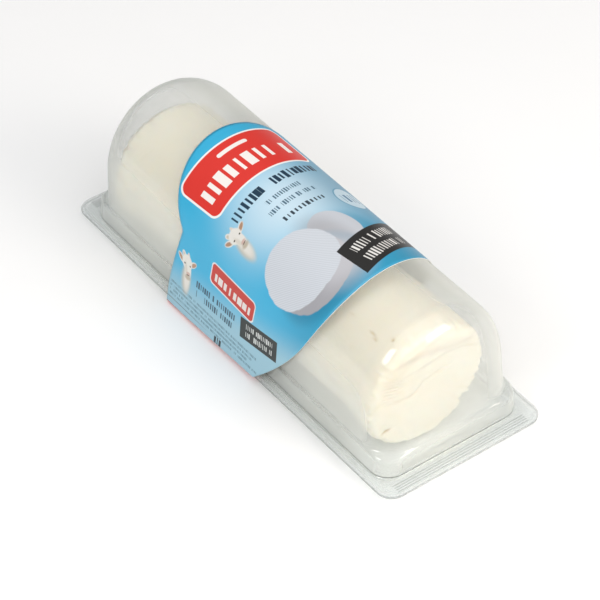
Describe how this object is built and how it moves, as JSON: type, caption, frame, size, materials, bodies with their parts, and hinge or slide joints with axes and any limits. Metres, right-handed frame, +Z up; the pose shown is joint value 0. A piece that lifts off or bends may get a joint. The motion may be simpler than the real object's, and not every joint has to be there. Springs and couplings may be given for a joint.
{
  "type": "packed goat cheese log",
  "caption": "Round log of soft white goat's cheese in a clear vaulted dome and shallow clear tray, with a printed card sleeve round the middle.",
  "frame": {"origin": "on the floor under the middle of the flange: centre of the underside of the box round the part", "axes": "+X along the log towards its rounder-looking near end in the reference view, +Y across the pack, +Z up"},
  "size_m": [0.29, 0.103, 0.0841],
  "materials": {
    "cheese": "soft moist white cheese, matt with a faint sheen",
    "clear_dome": "clear glossy formed sheet",
    "clear_tray": "clear glossy formed sheet",
    "printed_card": "coated card, printed in blue, red, white and black"
  },
  "bodies": {
    "root": {"cheese_log": "cheese", "dome": "clear_dome", "base_tray": "clear_tray", "sleeve": "printed_card"}
  },
  "joints": []
}
